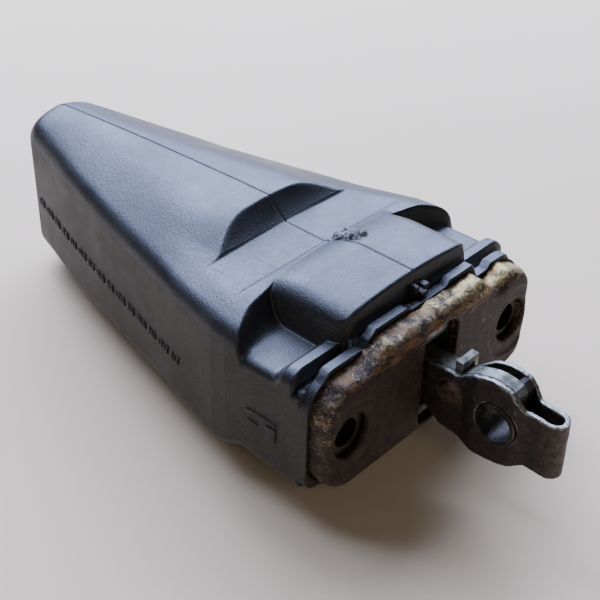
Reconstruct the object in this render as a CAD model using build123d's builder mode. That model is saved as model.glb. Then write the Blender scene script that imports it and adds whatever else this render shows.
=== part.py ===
from build123d import *
import os

# Vehicle door check: a steel mounting pan, a plastic cover behind it, and a
# check arm that slides out through the pan's slot.
# Frame, in mm: the origin is midway between the two fixing holes, on the
# pan's front face. +X points out of the pan, towards the arm's eye; the
# fixing holes lie along Y; +Z is up. "near" is the -Y side, "far" is +Y.

# Mounting pan
HOLE_Y = 28.0
HOLE_R = 5.3
THREAD_R = 3.4
PAN_HALF_Y = 35.2
PAN_BOTTOM = -13.8
PAN_TOP = 13.4
PAN_CROWN = 16.4
PAN_CROWN_Y = 16.0
PAN_DEPTH = 8.0
PAN_SHEET = 2.4
PAN_BEND = 3.0
DISH_R = 9.0
DISH_DEEP = 0.5
SLOT_HALF_Y = 5.7
SLOT_TOP = 13.2
SLOT_BOTTOM = -11.4

# Check mechanism, centred on one axis that runs along Y
MECH_X = -22.5
TRACK_HALF = 3.0
TRACK_RISE = 1.5 / 70.0
TRACK_GAP = 0.3
ROLLER_R = 4.0
ROLLER_HALF = 5.5
PIN_R = 2.0
RUN_FIT = 0.05
ROLLER_Y = TRACK_HALF + TRACK_GAP + ROLLER_R

# Cage
CAGE_Y = 19.2
CAGE_Z = 14.8
CAGE_WALL = 1.6
CAGE_FRONT = -PAN_SHEET
CAGE_STEP = -8.4
CAGE_REAR = -40.2
COLLAR_Z = 10.9
WIPER_THICK = 2.0
LID_THICK = 1.6

# Tilting guide
BOSS_R = 11.0
BUSH_R = 12.4
BUSH_COLLAR_R = 12.6
GUIDE_FRONT = -11.6
GUIDE_REAR = -33.4
GUIDE_Y = 13.0
GUIDE_Z = 11.4
GUIDE_WINDOW_Y = 5.3
GUIDE_WINDOW_Z = 8.8
PAD_FACE_Z = 7.3

# Roller shoes
SHOE_R = 8.6
SHOE_IN = 4.2
SHOE_OUT = 17.4
SHOE_FLOOR = 11.9
SPRING_SEAT = 13.4
SPRING_POCKET_R = 7.0

# Spring bridges over the cage sides
BRIDGE_Y = 24.0
BRIDGE_SHEET = 1.6
BRIDGE_Z = 7.6
BRIDGE_CROWN = 11.4
BRIDGE_FOOT = 14.6

# Springs
WIRE_R = 0.9
COIL_R = 5.6
COILS = 2.75

# Arm
BAR_Z = 5.2
CORE_HALF = 1.6
STRAP_SHEET = 1.3
ARM_END = -120.4
TRACK_FRONT = -8.6
TRACK_REAR = -109.5
TRACK_Z = 7.0
NOTCHES = (-56.0, -86.0)
NOTCH_R = 4.6
NOTCH_DEEP = 0.8
BUFFER_THICK = 4.0
STOP_THICK = 3.0
STOP_Y = 10.5
STOP_Z = 7.0
STOP_PIN_R = 1.5
STOP_PIN_Z = 3.0

# Arm head
EYE_X = 18.0
EYE_Z = -0.6
EYE_R = 4.0
EYE_BUSH_R = 5.0
RIVET_X = 5.4
RIVET_Z = 0.6
RIVET_R = 2.0
RIVET_HEAD_R = 2.8
HEAD_HALF = 4.1
TIP_HALF = 3.0
TIP_X = 32.6
NECK_HALF = CORE_HALF + STRAP_SHEET
CORE_SHIFT = -1.2

# Cover
WALL = 2.0
COVER_HALF_Y = 36.6
LEDGE_Z = 12.0
LEDGE_IN = 10.0
RIM_LIP = 1.6
RIM_FRONT = -5.8
RIM_WEB = 0.7
RIB_Z = 15.0
RIB_Y = 35.8
RIB_FRONT = -10.4
RIB_REAR = -14.0
POCKET_REAR = -29.0
BLOCK_Y = 22.0
BLOCK_EDGE_Z = 20.8
BLOCK_ROOF_Z = 22.7
BLOCK_FRONT = -9.4
BLOCK_REAR = -31.0
NECK_Z = 17.8
MOUTH_Z = 16.4
FIT_GAP = 0.2

os.makedirs("parts", exist_ok=True)


def side_plane(sign, y, z=0.0):
    """A plane across the mechanism axis, facing outwards on one side."""
    return Plane(origin=(MECH_X, sign * y, z), x_dir=(1, 0, 0), z_dir=(0, sign, 0))


def pan_points(grow=0.0):
    """The pan's front outline, with its raised crown in the middle of the top."""
    half = PAN_HALF_Y + grow
    top = PAN_TOP + grow
    crown = PAN_CROWN + grow
    inner = PAN_CROWN_Y + grow
    outer = inner + 3.4
    right = [(half, PAN_BOTTOM - grow), (half, top), (outer, top), (inner, crown)]
    return right + [(-y, z) for y, z in reversed(right)]


def near_y(vertices, half, within=0.01):
    """The vertices of an outline that lie at one distance either side of its middle."""
    return [v for v in vertices if abs(abs(v.X) - half) < within]


# The pan: a drawn sheet with turned-back walls, two fixing holes and a slot
with BuildPart() as mounting_plate:
    with BuildSketch(Plane.YZ) as pan_face:
        with BuildLine():
            Polyline(*pan_points(), close=True)
        make_face()
        fillet(near_y(pan_face.vertices(), PAN_HALF_Y), 7.5)
        fillet(near_y(pan_face.vertices(), PAN_CROWN_Y, 3.6), 2.6)
    extrude(amount=-PAN_DEPTH)
    fillet(mounting_plate.faces().sort_by(Axis.X)[-1].edges(), PAN_BEND)
    with BuildSketch(Plane.YZ.offset(-PAN_DEPTH)) as pan_inside:
        with BuildLine():
            Polyline(*pan_points(-PAN_SHEET), close=True)
        make_face()
        fillet(near_y(pan_inside.vertices(), PAN_HALF_Y - PAN_SHEET), 5.1)
    extrude(amount=PAN_DEPTH - PAN_SHEET, mode=Mode.SUBTRACT)
    with BuildSketch(Plane.YZ):
        with Locations((-HOLE_Y, 0), (HOLE_Y, 0)):
            Circle(DISH_R)
    extrude(amount=-DISH_DEEP, mode=Mode.SUBTRACT)
    with BuildSketch(Plane.YZ):
        with Locations((-HOLE_Y, 0), (HOLE_Y, 0)):
            Circle(HOLE_R)
        with Locations((0, (SLOT_TOP + SLOT_BOTTOM) / 2)):
            RectangleRounded(2 * SLOT_HALF_Y, SLOT_TOP - SLOT_BOTTOM, 2.0)
    extrude(amount=-PAN_SHEET, mode=Mode.SUBTRACT)
mounting_plate.part.label = "mounting_plate"
export_step(mounting_plate.part, "parts/mounting_plate.step")

# Two oblong weld nuts, each with a flat against the pan's end wall
NUT_THICK = 5.4
NUT_OUT = PAN_HALF_Y - PAN_SHEET - 0.1
NUT_IN = HOLE_Y - 6.4
NUT_MID = (NUT_OUT + NUT_IN) / 2
with BuildPart() as weld_nuts:
    with BuildSketch(Plane.YZ.offset(-PAN_SHEET)):
        with Locations((-NUT_MID, 0), (NUT_MID, 0)):
            RectangleRounded(NUT_OUT - NUT_IN, 13.0, 1.2)
        with Locations((-HOLE_Y, 0), (HOLE_Y, 0)):
            Circle(THREAD_R, mode=Mode.SUBTRACT)
    extrude(amount=-NUT_THICK)
weld_nuts.part.label = "weld_nuts"
export_step(weld_nuts.part, "parts/weld_nuts.step")

# The cage: a box open at the rear, whose narrower collar is welded to the pan
CAGE_INSIDE_Y = CAGE_Y - CAGE_WALL
CAGE_INSIDE_Z = CAGE_Z - CAGE_WALL
COLLAR_INSIDE_Z = COLLAR_Z - CAGE_WALL
INNER_FACE = CAGE_FRONT - WIPER_THICK - CAGE_WALL
WINDOW_Y = 12.4
WINDOW_Z = 17.4
RIVET_LINE_X = CAGE_REAR + 2.4
LID_RIVETS = [(RIVET_LINE_X, y) for y in (-9.0, 9.0)]
with BuildPart() as cage:
    with BuildSketch(Plane.YZ.offset(CAGE_REAR)):
        RectangleRounded(2 * CAGE_Y, 2 * CAGE_Z, 3.0)
    extrude(amount=CAGE_STEP - CAGE_REAR)
    with BuildSketch(Plane.YZ.offset(CAGE_STEP)):
        RectangleRounded(2 * CAGE_Y, 2 * COLLAR_Z, 3.0)
    extrude(amount=CAGE_FRONT - CAGE_STEP)
    with BuildSketch(Plane.YZ.offset(CAGE_REAR)):
        RectangleRounded(2 * CAGE_INSIDE_Y, 2 * CAGE_INSIDE_Z, 0.5)
    extrude(amount=CAGE_STEP - CAGE_WALL - CAGE_REAR, mode=Mode.SUBTRACT)
    with BuildSketch(Plane.YZ.offset(CAGE_REAR)):
        RectangleRounded(2 * CAGE_INSIDE_Y, 2 * COLLAR_INSIDE_Z, 1.4)
    extrude(amount=INNER_FACE - CAGE_REAR, mode=Mode.SUBTRACT)
    with BuildSketch(Plane.YZ.offset(CAGE_FRONT)):
        RectangleRounded(2 * CAGE_INSIDE_Y, 2 * COLLAR_INSIDE_Z, 1.4)
    extrude(amount=-WIPER_THICK, mode=Mode.SUBTRACT)
    with BuildSketch(Plane.YZ.offset(INNER_FACE)):
        RectangleRounded(WINDOW_Y, WINDOW_Z, 1.5)
    extrude(amount=CAGE_WALL, mode=Mode.SUBTRACT)
    with BuildSketch(side_plane(1, 0)):
        Circle(BUSH_R)
    extrude(amount=CAGE_Y, both=True, mode=Mode.SUBTRACT)
    with BuildSketch(Plane.XY):
        with Locations(*LID_RIVETS):
            Circle(1.6)
    extrude(amount=CAGE_Z, both=True, mode=Mode.SUBTRACT)
cage.part.label = "cage"
export_step(cage.part, "parts/cage.step")

# The cage's rear lid, with a top and a bottom tongue inside the cage
LID_REAR = CAGE_REAR - LID_THICK
TONGUE = 1.6
TONGUE_LONG = 4.2
with BuildPart() as cage_lid:
    with BuildSketch(Plane.YZ.offset(LID_REAR)):
        RectangleRounded(2 * CAGE_Y, 2 * CAGE_Z, 3.0)
        RectangleRounded(WINDOW_Y, WINDOW_Z + 3.0, 1.5, mode=Mode.SUBTRACT)
    extrude(amount=LID_THICK)
    with BuildSketch(Plane.YZ.offset(CAGE_REAR)):
        for level in (-1, 1):
            with Locations((0, level * (CAGE_INSIDE_Z - TONGUE / 2))):
                Rectangle(26.0, TONGUE)
    extrude(amount=TONGUE_LONG)
    with BuildSketch(Plane.XY):
        with Locations(*LID_RIVETS):
            Circle(1.6)
    extrude(amount=CAGE_Z, both=True, mode=Mode.SUBTRACT)
cage_lid.part.label = "cage_lid"
export_step(cage_lid.part, "parts/cage_lid.step")

# Four rivets through the cage's top and bottom walls and the lid's tongues
GRIP_IN = CAGE_INSIDE_Z - TONGUE
with BuildPart() as lid_rivets:
    for level in (-1, 1):
        for x, y in LID_RIVETS:
            seat = Plane(origin=(x, y, level * GRIP_IN), z_dir=(0, 0, level))
            with BuildSketch(seat):
                Circle(1.6)
            extrude(amount=CAGE_Z - GRIP_IN)
            with BuildSketch(seat):
                Circle(2.4)
            extrude(amount=-0.7)
            with BuildSketch(seat.offset(CAGE_Z - GRIP_IN)):
                Circle(2.8)
            extrude(amount=1.1, taper=20)
lid_rivets.part.label = "lid_rivets"
export_step(lid_rivets.part, "parts/lid_rivets.step")

# A rubber wiper around the arm, between the pan and the cage's front wall
with BuildPart() as arm_wiper:
    with BuildSketch(Plane.YZ.offset(CAGE_FRONT - WIPER_THICK)):
        RectangleRounded(2 * CAGE_INSIDE_Y - 0.2, 2 * COLLAR_INSIDE_Z - 0.2, 1.3)
        RectangleRounded(WINDOW_Y - 1.2, WINDOW_Z - 0.2, 1.0, mode=Mode.SUBTRACT)
    extrude(amount=WIPER_THICK)
arm_wiper.part.label = "arm_wiper"
export_step(arm_wiper.part, "parts/arm_wiper.step")

# The tilting guide: a frame around the arm, with a round boss on each side
with BuildPart() as guide_frame:
    with BuildSketch(Plane.XZ):
        with Locations(((GUIDE_FRONT + GUIDE_REAR) / 2, 0)):
            RectangleRounded(GUIDE_FRONT - GUIDE_REAR, 2 * GUIDE_Z, 2.0)
    extrude(amount=GUIDE_Y, both=True)
    for sign in (-1, 1):
        with BuildSketch(side_plane(sign, GUIDE_Y)):
            Circle(BOSS_R)
        extrude(amount=CAGE_Y - 0.3 - GUIDE_Y)
    with BuildSketch(Plane.YZ.offset(GUIDE_REAR)):
        Rectangle(2 * GUIDE_WINDOW_Y, 2 * GUIDE_WINDOW_Z)
    extrude(amount=GUIDE_FRONT - GUIDE_REAR, mode=Mode.SUBTRACT)
    with BuildSketch(side_plane(1, 0)):
        Circle(SHOE_R + RUN_FIT)
    extrude(amount=CAGE_Y, both=True, mode=Mode.SUBTRACT)
guide_frame.part.label = "guide_frame"
export_step(guide_frame.part, "parts/guide_frame.step")

# Slide pads above and below the arm, clipped into the guide's window
for name, level in (("upper_slide_pad", 1), ("lower_slide_pad", -1)):
    with BuildPart() as slide_pad:
        with BuildSketch(Plane.XY.offset(level * PAD_FACE_Z)):
            with Locations(((GUIDE_FRONT + GUIDE_REAR) / 2, 0)):
                Rectangle(GUIDE_FRONT - GUIDE_REAR - 0.2, 2 * GUIDE_WINDOW_Y)
        extrude(amount=level * (GUIDE_WINDOW_Z - PAD_FACE_Z))
        with BuildSketch(side_plane(1, 0)):
            Circle(SHOE_R + RUN_FIT)
        extrude(amount=CAGE_Y, both=True, mode=Mode.SUBTRACT)
    slide_pad.part.label = name
    export_step(slide_pad.part, f"parts/{name}.step")

# Each side of the mechanism: bush, shoe, pin, roller, spring and bridge
for side, sign in (("near", -1), ("far", 1)):
    # Collared bush that the guide's boss turns in
    with BuildPart() as bush:
        with BuildSketch(side_plane(sign, CAGE_INSIDE_Y)):
            Circle(BUSH_R)
            Circle(BOSS_R + RUN_FIT, mode=Mode.SUBTRACT)
        extrude(amount=CAGE_WALL)
        with BuildSketch(side_plane(sign, CAGE_INSIDE_Y - 1.0)):
            Circle(BUSH_COLLAR_R)
            Circle(BOSS_R + RUN_FIT, mode=Mode.SUBTRACT)
        extrude(amount=1.0)
    bush.part.label = f"{side}_bush"
    export_step(bush.part, f"parts/{side}_bush.step")

    # Round shoe that slides in the boss and carries the roller
    with BuildPart() as shoe:
        with BuildSketch(side_plane(sign, SHOE_IN)):
            Circle(SHOE_R)
        extrude(amount=SHOE_OUT - SHOE_IN)
        with BuildSketch(side_plane(sign, SPRING_SEAT)):
            Circle(SPRING_POCKET_R)
        extrude(amount=SHOE_OUT - SPRING_SEAT, mode=Mode.SUBTRACT)
        with BuildSketch(side_plane(sign, SHOE_IN)):
            Rectangle(2 * (ROLLER_R + 0.5), 2 * (ROLLER_HALF + 0.3))
        extrude(amount=SHOE_FLOOR - SHOE_IN, mode=Mode.SUBTRACT)
        with BuildSketch(Plane(origin=(MECH_X, sign * ROLLER_Y, 0))):
            Circle(PIN_R)
        extrude(amount=SHOE_R, both=True, mode=Mode.SUBTRACT)
    shoe.part.label = f"{side}_shoe"
    export_step(shoe.part, f"parts/{side}_shoe.step")

    # Pin pressed through the shoe
    with BuildPart() as roller_pin:
        with BuildSketch(Plane(origin=(MECH_X, sign * ROLLER_Y, 0))):
            Circle(PIN_R)
        extrude(amount=SHOE_R - 0.6, both=True)
        chamfer(roller_pin.edges().filter_by(GeomType.CIRCLE), 0.4)
    roller_pin.part.label = f"{side}_roller_pin"
    export_step(roller_pin.part, f"parts/{side}_roller_pin.step")

    # Roller that runs on the arm's track
    with BuildPart() as roller:
        with BuildSketch(Plane(origin=(MECH_X, sign * ROLLER_Y, 0))):
            Circle(ROLLER_R)
            Circle(PIN_R + RUN_FIT, mode=Mode.SUBTRACT)
        extrude(amount=ROLLER_HALF, both=True)
        rims = roller.edges().filter_by(GeomType.CIRCLE).group_by(SortBy.RADIUS)[-1]
        chamfer(rims, 0.5)
    roller.part.label = f"{side}_roller"
    export_step(roller.part, f"parts/{side}_roller.step")

    # Coil spring between the shoe and the bridge
    coil_start = SPRING_SEAT + WIRE_R
    coil_end = BRIDGE_Y - BRIDGE_SHEET - WIRE_R
    with BuildPart() as spring:
        with BuildLine():
            wire = Helix(
                pitch=(coil_end - coil_start) / COILS,
                height=coil_end - coil_start,
                radius=COIL_R,
                center=(MECH_X, sign * coil_start, 0),
                direction=(0, sign, 0),
            )
        with BuildSketch(Plane(origin=wire @ 0, z_dir=wire % 0)):
            Circle(WIRE_R)
        sweep(is_frenet=True)
    spring.part.label = f"{side}_spring"
    export_step(spring.part, f"parts/{side}_spring.step")

    # Bridge that holds the spring's outer end, welded to the cage's side
    crown = BRIDGE_CROWN
    foot = BRIDGE_FOOT
    with BuildPart() as bridge:
        with BuildSketch(Plane.XY):
            with BuildLine():
                Polyline(
                    (MECH_X - foot, sign * CAGE_Y),
                    (MECH_X - foot, sign * (CAGE_Y + BRIDGE_SHEET)),
                    (MECH_X - crown - 1.0, sign * (CAGE_Y + BRIDGE_SHEET)),
                    (MECH_X - crown, sign * BRIDGE_Y),
                    (MECH_X + crown, sign * BRIDGE_Y),
                    (MECH_X + crown + 1.0, sign * (CAGE_Y + BRIDGE_SHEET)),
                    (MECH_X + foot, sign * (CAGE_Y + BRIDGE_SHEET)),
                    (MECH_X + foot, sign * CAGE_Y),
                    (MECH_X + crown - 0.4, sign * CAGE_Y),
                    (MECH_X + crown - 1.4, sign * (BRIDGE_Y - BRIDGE_SHEET)),
                    (MECH_X - crown + 1.4, sign * (BRIDGE_Y - BRIDGE_SHEET)),
                    (MECH_X - crown + 0.4, sign * CAGE_Y),
                    close=True,
                )
            make_face()
        extrude(amount=BRIDGE_Z, both=True)
    bridge.part.label = f"{side}_spring_bridge"
    export_step(bridge.part, f"parts/{side}_spring_bridge.step")


def head_outline(rear, top, bottom):
    """The side view of the arm's head, closed off at its rear end."""
    with BuildSketch() as outline:
        with BuildLine():
            neck_top = Polyline((rear, top), (7.0, 5.4), (11.2, 8.4))
            crown_arc = ThreePointArc(neck_top @ 1, (16.0, 9.9), (21.0, 9.2))
            shoulder = Polyline(
                crown_arc @ 1,
                (24.0, 5.8),
                (TIP_X, 5.4),
                (TIP_X, -8.5),
                (25.4, -8.2),
                (22.0, -9.9),
            )
            belly_arc = ThreePointArc(shoulder @ 1, (14.5, -11.2), (7.5, -10.3))
            Polyline(belly_arc @ 1, (3.0, -9.8), (0.2, -7.3), (rear, bottom), (rear, top))
        make_face()
    return outline.sketch


# The arm's steel core: one plate, joggled towards the near cheek in the head
NECK_REAR = -1.0
NECK_TOP = 5.4
NECK_BOTTOM = -6.9
STRAP_REAR = -7.0
CORE_TIP = 22.0
JOG_START = 9.0
JOG_END = 12.4
with BuildPart() as arm_core:
    with BuildSketch(Plane.XZ):
        add(head_outline(NECK_REAR, NECK_TOP, NECK_BOTTOM))
        with BuildLine():
            Polyline(
                (NECK_REAR, NECK_TOP),
                (STRAP_REAR, BAR_Z),
                (ARM_END, BAR_Z),
                (ARM_END, -BAR_Z),
                (STRAP_REAR, -BAR_Z),
                (NECK_REAR, NECK_BOTTOM),
                close=True,
            )
        make_face()
    extrude(amount=HEAD_HALF, both=True)
    with BuildSketch(Plane.XY.offset(-HEAD_HALF * 4)):
        with BuildLine():
            Polyline(
                (ARM_END, -CORE_HALF),
                (JOG_START, -CORE_HALF),
                (JOG_END, CORE_SHIFT - CORE_HALF),
                (CORE_TIP, CORE_SHIFT - CORE_HALF),
                (CORE_TIP, CORE_SHIFT + CORE_HALF),
                (JOG_END, CORE_SHIFT + CORE_HALF),
                (JOG_START, CORE_HALF),
                (ARM_END, CORE_HALF),
                close=True,
            )
        make_face()
    extrude(amount=HEAD_HALF * 8, mode=Mode.INTERSECT)
    with BuildSketch(Plane.XZ):
        with Locations((EYE_X, EYE_Z)):
            Circle(EYE_BUSH_R)
        with Locations((RIVET_X, RIVET_Z)):
            Circle(RIVET_R)
        with Locations(
            (TRACK_REAR - BUFFER_THICK - STOP_THICK - STOP_PIN_R, -STOP_PIN_Z),
            (TRACK_REAR - BUFFER_THICK - STOP_THICK - STOP_PIN_R, STOP_PIN_Z),
        ):
            Circle(STOP_PIN_R)
    extrude(amount=HEAD_HALF, both=True, mode=Mode.SUBTRACT)
arm_core.part.label = "arm_core"
export_step(arm_core.part, "parts/arm_core.step")

# The folded strap: two cheeks joined by the bend at the arm's tip

def strap_side(inset):
    """Half of the strap's outline seen from above, moved in by the inset."""
    neck = NECK_HALF - inset
    head = HEAD_HALF - inset
    tip = TIP_HALF - inset
    return [
        (STRAP_REAR, neck),
        (JOG_START, neck),
        (JOG_END, head),
        (22.2, head),
        (25.0, tip),
    ]


with BuildPart() as link_strap:
    with BuildSketch(Plane.XZ):
        add(head_outline(STRAP_REAR, BAR_Z, -BAR_Z))
    extrude(amount=HEAD_HALF + 1, both=True)
    with BuildSketch(Plane.XY.offset(-20)):
        for inset, mode in ((0.0, Mode.ADD), (STRAP_SHEET, Mode.SUBTRACT)):
            upper = strap_side(inset)
            lower = [(x, -y) for x, y in reversed(upper)]
            tip = TIP_HALF - inset
            with BuildLine():
                Polyline(*upper)
                Line(upper[-1], (TIP_X - TIP_HALF, tip))
                ThreePointArc((TIP_X - TIP_HALF, tip), (TIP_X - inset, 0), (TIP_X - TIP_HALF, -tip))
                Line((TIP_X - TIP_HALF, -tip), lower[0])
                Polyline(*lower)
                Line(lower[-1], upper[0])
            make_face(mode=mode)
    extrude(amount=40, mode=Mode.INTERSECT)
    with BuildSketch(Plane.XZ):
        with Locations((EYE_X, EYE_Z)):
            Circle(EYE_BUSH_R)
        with Locations((RIVET_X, RIVET_Z)):
            Circle(RIVET_R)
    extrude(amount=HEAD_HALF + 1, both=True, mode=Mode.SUBTRACT)
link_strap.part.label = "link_strap"
export_step(link_strap.part, "parts/link_strap.step")

# Bush through both cheeks and the core, for the pillar pin
with BuildPart() as eye_bush:
    with BuildSketch(Plane(origin=(EYE_X, 0, EYE_Z), x_dir=(1, 0, 0), z_dir=(0, 1, 0))):
        Circle(EYE_BUSH_R)
        Circle(EYE_R, mode=Mode.SUBTRACT)
    extrude(amount=HEAD_HALF + 0.4, both=True)
    chamfer(eye_bush.edges().filter_by(GeomType.CIRCLE).group_by(SortBy.RADIUS)[-1], 0.3)
eye_bush.part.label = "eye_bush"
export_step(eye_bush.part, "parts/eye_bush.step")

# Domed rivet that clamps the strap's cheeks to the core
with BuildPart() as arm_rivet:
    for sign in (-1, 1):
        outer = Plane(origin=(RIVET_X, sign * NECK_HALF, RIVET_Z), x_dir=(1, 0, 0), z_dir=(0, sign, 0))
        with BuildSketch(outer):
            Circle(RIVET_R)
        extrude(amount=-NECK_HALF)
        with BuildSketch(outer):
            Circle(RIVET_HEAD_R + 0.7)
        extrude(amount=0.35)
        with BuildSketch(outer.offset(0.35)):
            Circle(RIVET_HEAD_R)
        extrude(amount=0.9, taper=35)
arm_rivet.part.label = "arm_rivet"
export_step(arm_rivet.part, "parts/arm_rivet.step")

# Web that closes the gap between the core and the far cheek at the shoulder
WEB_REAR = 19.4
WEB_FRONT = 21.9
WEB_TOP = 9.2
WEB_FOOT = 5.7
with BuildPart() as closing_web:
    with BuildSketch(Plane.XZ):
        with BuildLine():
            Polyline(
                (WEB_REAR, WEB_TOP),
                (20.6, WEB_TOP),
                (WEB_FRONT, 7.9),
                (WEB_FRONT, WEB_FOOT),
                (WEB_REAR, WEB_FOOT),
                close=True,
            )
        make_face()
    extrude(amount=-(HEAD_HALF - STRAP_SHEET))
    split(bisect_by=Plane.XZ.offset(-(CORE_SHIFT + CORE_HALF)), keep=Keep.BOTTOM)
closing_web.part.label = "closing_web"
export_step(closing_web.part, "parts/closing_web.step")

# Clip over the top of the neck, hooked down outside the far cheek
CLIP_REAR = 5.2
CLIP_FRONT = 7.0
CLIP_NEAR_Y = -1.6
CLIP_FAR_Y = NECK_HALF + 1.1
CLIP_TOP = 8.0
CLIP_UNDER = 6.5
CLIP_FOOT = 4.4
with BuildPart() as saddle_clip:
    with BuildSketch(Plane.YZ.offset(CLIP_REAR)):
        with BuildLine():
            Polyline(
                (CLIP_NEAR_Y, NECK_TOP),
                (CLIP_NEAR_Y, CLIP_TOP),
                (CLIP_FAR_Y, CLIP_TOP),
                (CLIP_FAR_Y, CLIP_FOOT),
                (NECK_HALF, CLIP_FOOT),
                (NECK_HALF, CLIP_UNDER),
                (CORE_HALF, CLIP_UNDER),
                (CORE_HALF, NECK_TOP),
                close=True,
            )
        make_face()
    extrude(amount=CLIP_FRONT - CLIP_REAR)
saddle_clip.part.label = "saddle_clip"
export_step(saddle_clip.part, "parts/saddle_clip.step")


def track_half(x):
    """Half the track's thickness at a place along the arm."""
    return TRACK_HALF + (MECH_X - x) * TRACK_RISE


# Plastic track moulded around the core: a slow wedge with two holding notches
with BuildPart() as track_moulding:
    with BuildSketch(Plane.XY.offset(-TRACK_Z)):
        with BuildLine():
            Polyline(
                (TRACK_FRONT, track_half(TRACK_FRONT)),
                (TRACK_REAR, track_half(TRACK_REAR)),
                (TRACK_REAR, -track_half(TRACK_REAR)),
                (TRACK_FRONT, -track_half(TRACK_FRONT)),
                close=True,
            )
        make_face()
        for x in NOTCHES:
            reach = track_half(x) + NOTCH_R - NOTCH_DEEP
            with Locations((x, reach), (x, -reach)):
                Circle(NOTCH_R, mode=Mode.SUBTRACT)
    extrude(amount=2 * TRACK_Z)
    with BuildSketch(Plane.YZ.offset(TRACK_REAR)):
        Rectangle(2 * CORE_HALF, 2 * BAR_Z)
    extrude(amount=TRACK_FRONT - TRACK_REAR, mode=Mode.SUBTRACT)
track_moulding.part.label = "track_moulding"
export_step(track_moulding.part, "parts/track_moulding.step")

# End stop on the arm's tail: rubber buffer, steel plate and two cross pins
STOP_FRONT = TRACK_REAR - BUFFER_THICK
STOP_REAR = STOP_FRONT - STOP_THICK
with BuildPart() as stop_buffer:
    with BuildSketch(Plane.YZ.offset(STOP_FRONT)):
        RectangleRounded(2 * STOP_Y - 1.0, 2 * STOP_Z, 1.5)
        Rectangle(2 * CORE_HALF, 2 * BAR_Z, mode=Mode.SUBTRACT)
    extrude(amount=BUFFER_THICK)
stop_buffer.part.label = "stop_buffer"
export_step(stop_buffer.part, "parts/stop_buffer.step")

with BuildPart() as stop_plate:
    with BuildSketch(Plane.YZ.offset(STOP_REAR)):
        RectangleRounded(2 * STOP_Y, 2 * STOP_Z, 1.5)
        Rectangle(2 * CORE_HALF, 2 * BAR_Z, mode=Mode.SUBTRACT)
    extrude(amount=STOP_THICK)
stop_plate.part.label = "stop_plate"
export_step(stop_plate.part, "parts/stop_plate.step")

with BuildPart() as stop_pins:
    with BuildSketch(Plane.XZ):
        with Locations((STOP_REAR - STOP_PIN_R, -STOP_PIN_Z), (STOP_REAR - STOP_PIN_R, STOP_PIN_Z)):
            Circle(STOP_PIN_R)
    extrude(amount=5.0, both=True)
stop_pins.part.label = "stop_pins"
export_step(stop_pins.part, "parts/stop_pins.step")

# The cover's stations from its tip to its waist, each as: place along X,
# half width, height of the side edge, half width of the ridge, ridge height
TAPER = [
    (-132.0, 7.2, 14.0, 3.6, 16.6),
    (-130.4, 9.2, 16.2, 4.4, 18.6),
    (-127.0, 11.4, 17.4, 5.2, 19.9),
    (-120.0, 14.0, 17.6, 6.2, 20.8),
    (-104.0, 19.0, 16.6, 8.0, 21.9),
    (-84.0, 24.3, 15.4, 10.0, 23.0),
    (-62.0, 29.6, 14.9, 13.2, 24.0),
    (-50.0, 32.5, 14.7, 17.0, 24.3),
    (-46.0, 33.5, 14.6, 21.0, 19.4),
    (-34.0, 35.9, 14.9, 25.0, 19.4),
    (POCKET_REAR, 36.6, 15.0, 26.0, 19.4),
]


def station(place, half, edge, ridge, top, inset):
    """One cross-section of the cover, as a plane and its eight corners."""
    half -= inset
    edge -= inset * 0.8
    ridge -= inset * 0.5
    top -= inset
    quarter = [(half, edge), (ridge, top)]
    upper = quarter + [(-y, z) for y, z in reversed(quarter)]
    return Plane.YZ.offset(place), upper + [(-y, -z) for y, z in upper]


def inner_place(place):
    """Where a station of the hollow stands, a wall's thickness inside the cover."""
    if place < TAPER[3][0]:
        return place + WALL
    if place > TAPER[6][0]:
        return place - 1.2 * WALL
    return place


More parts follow.
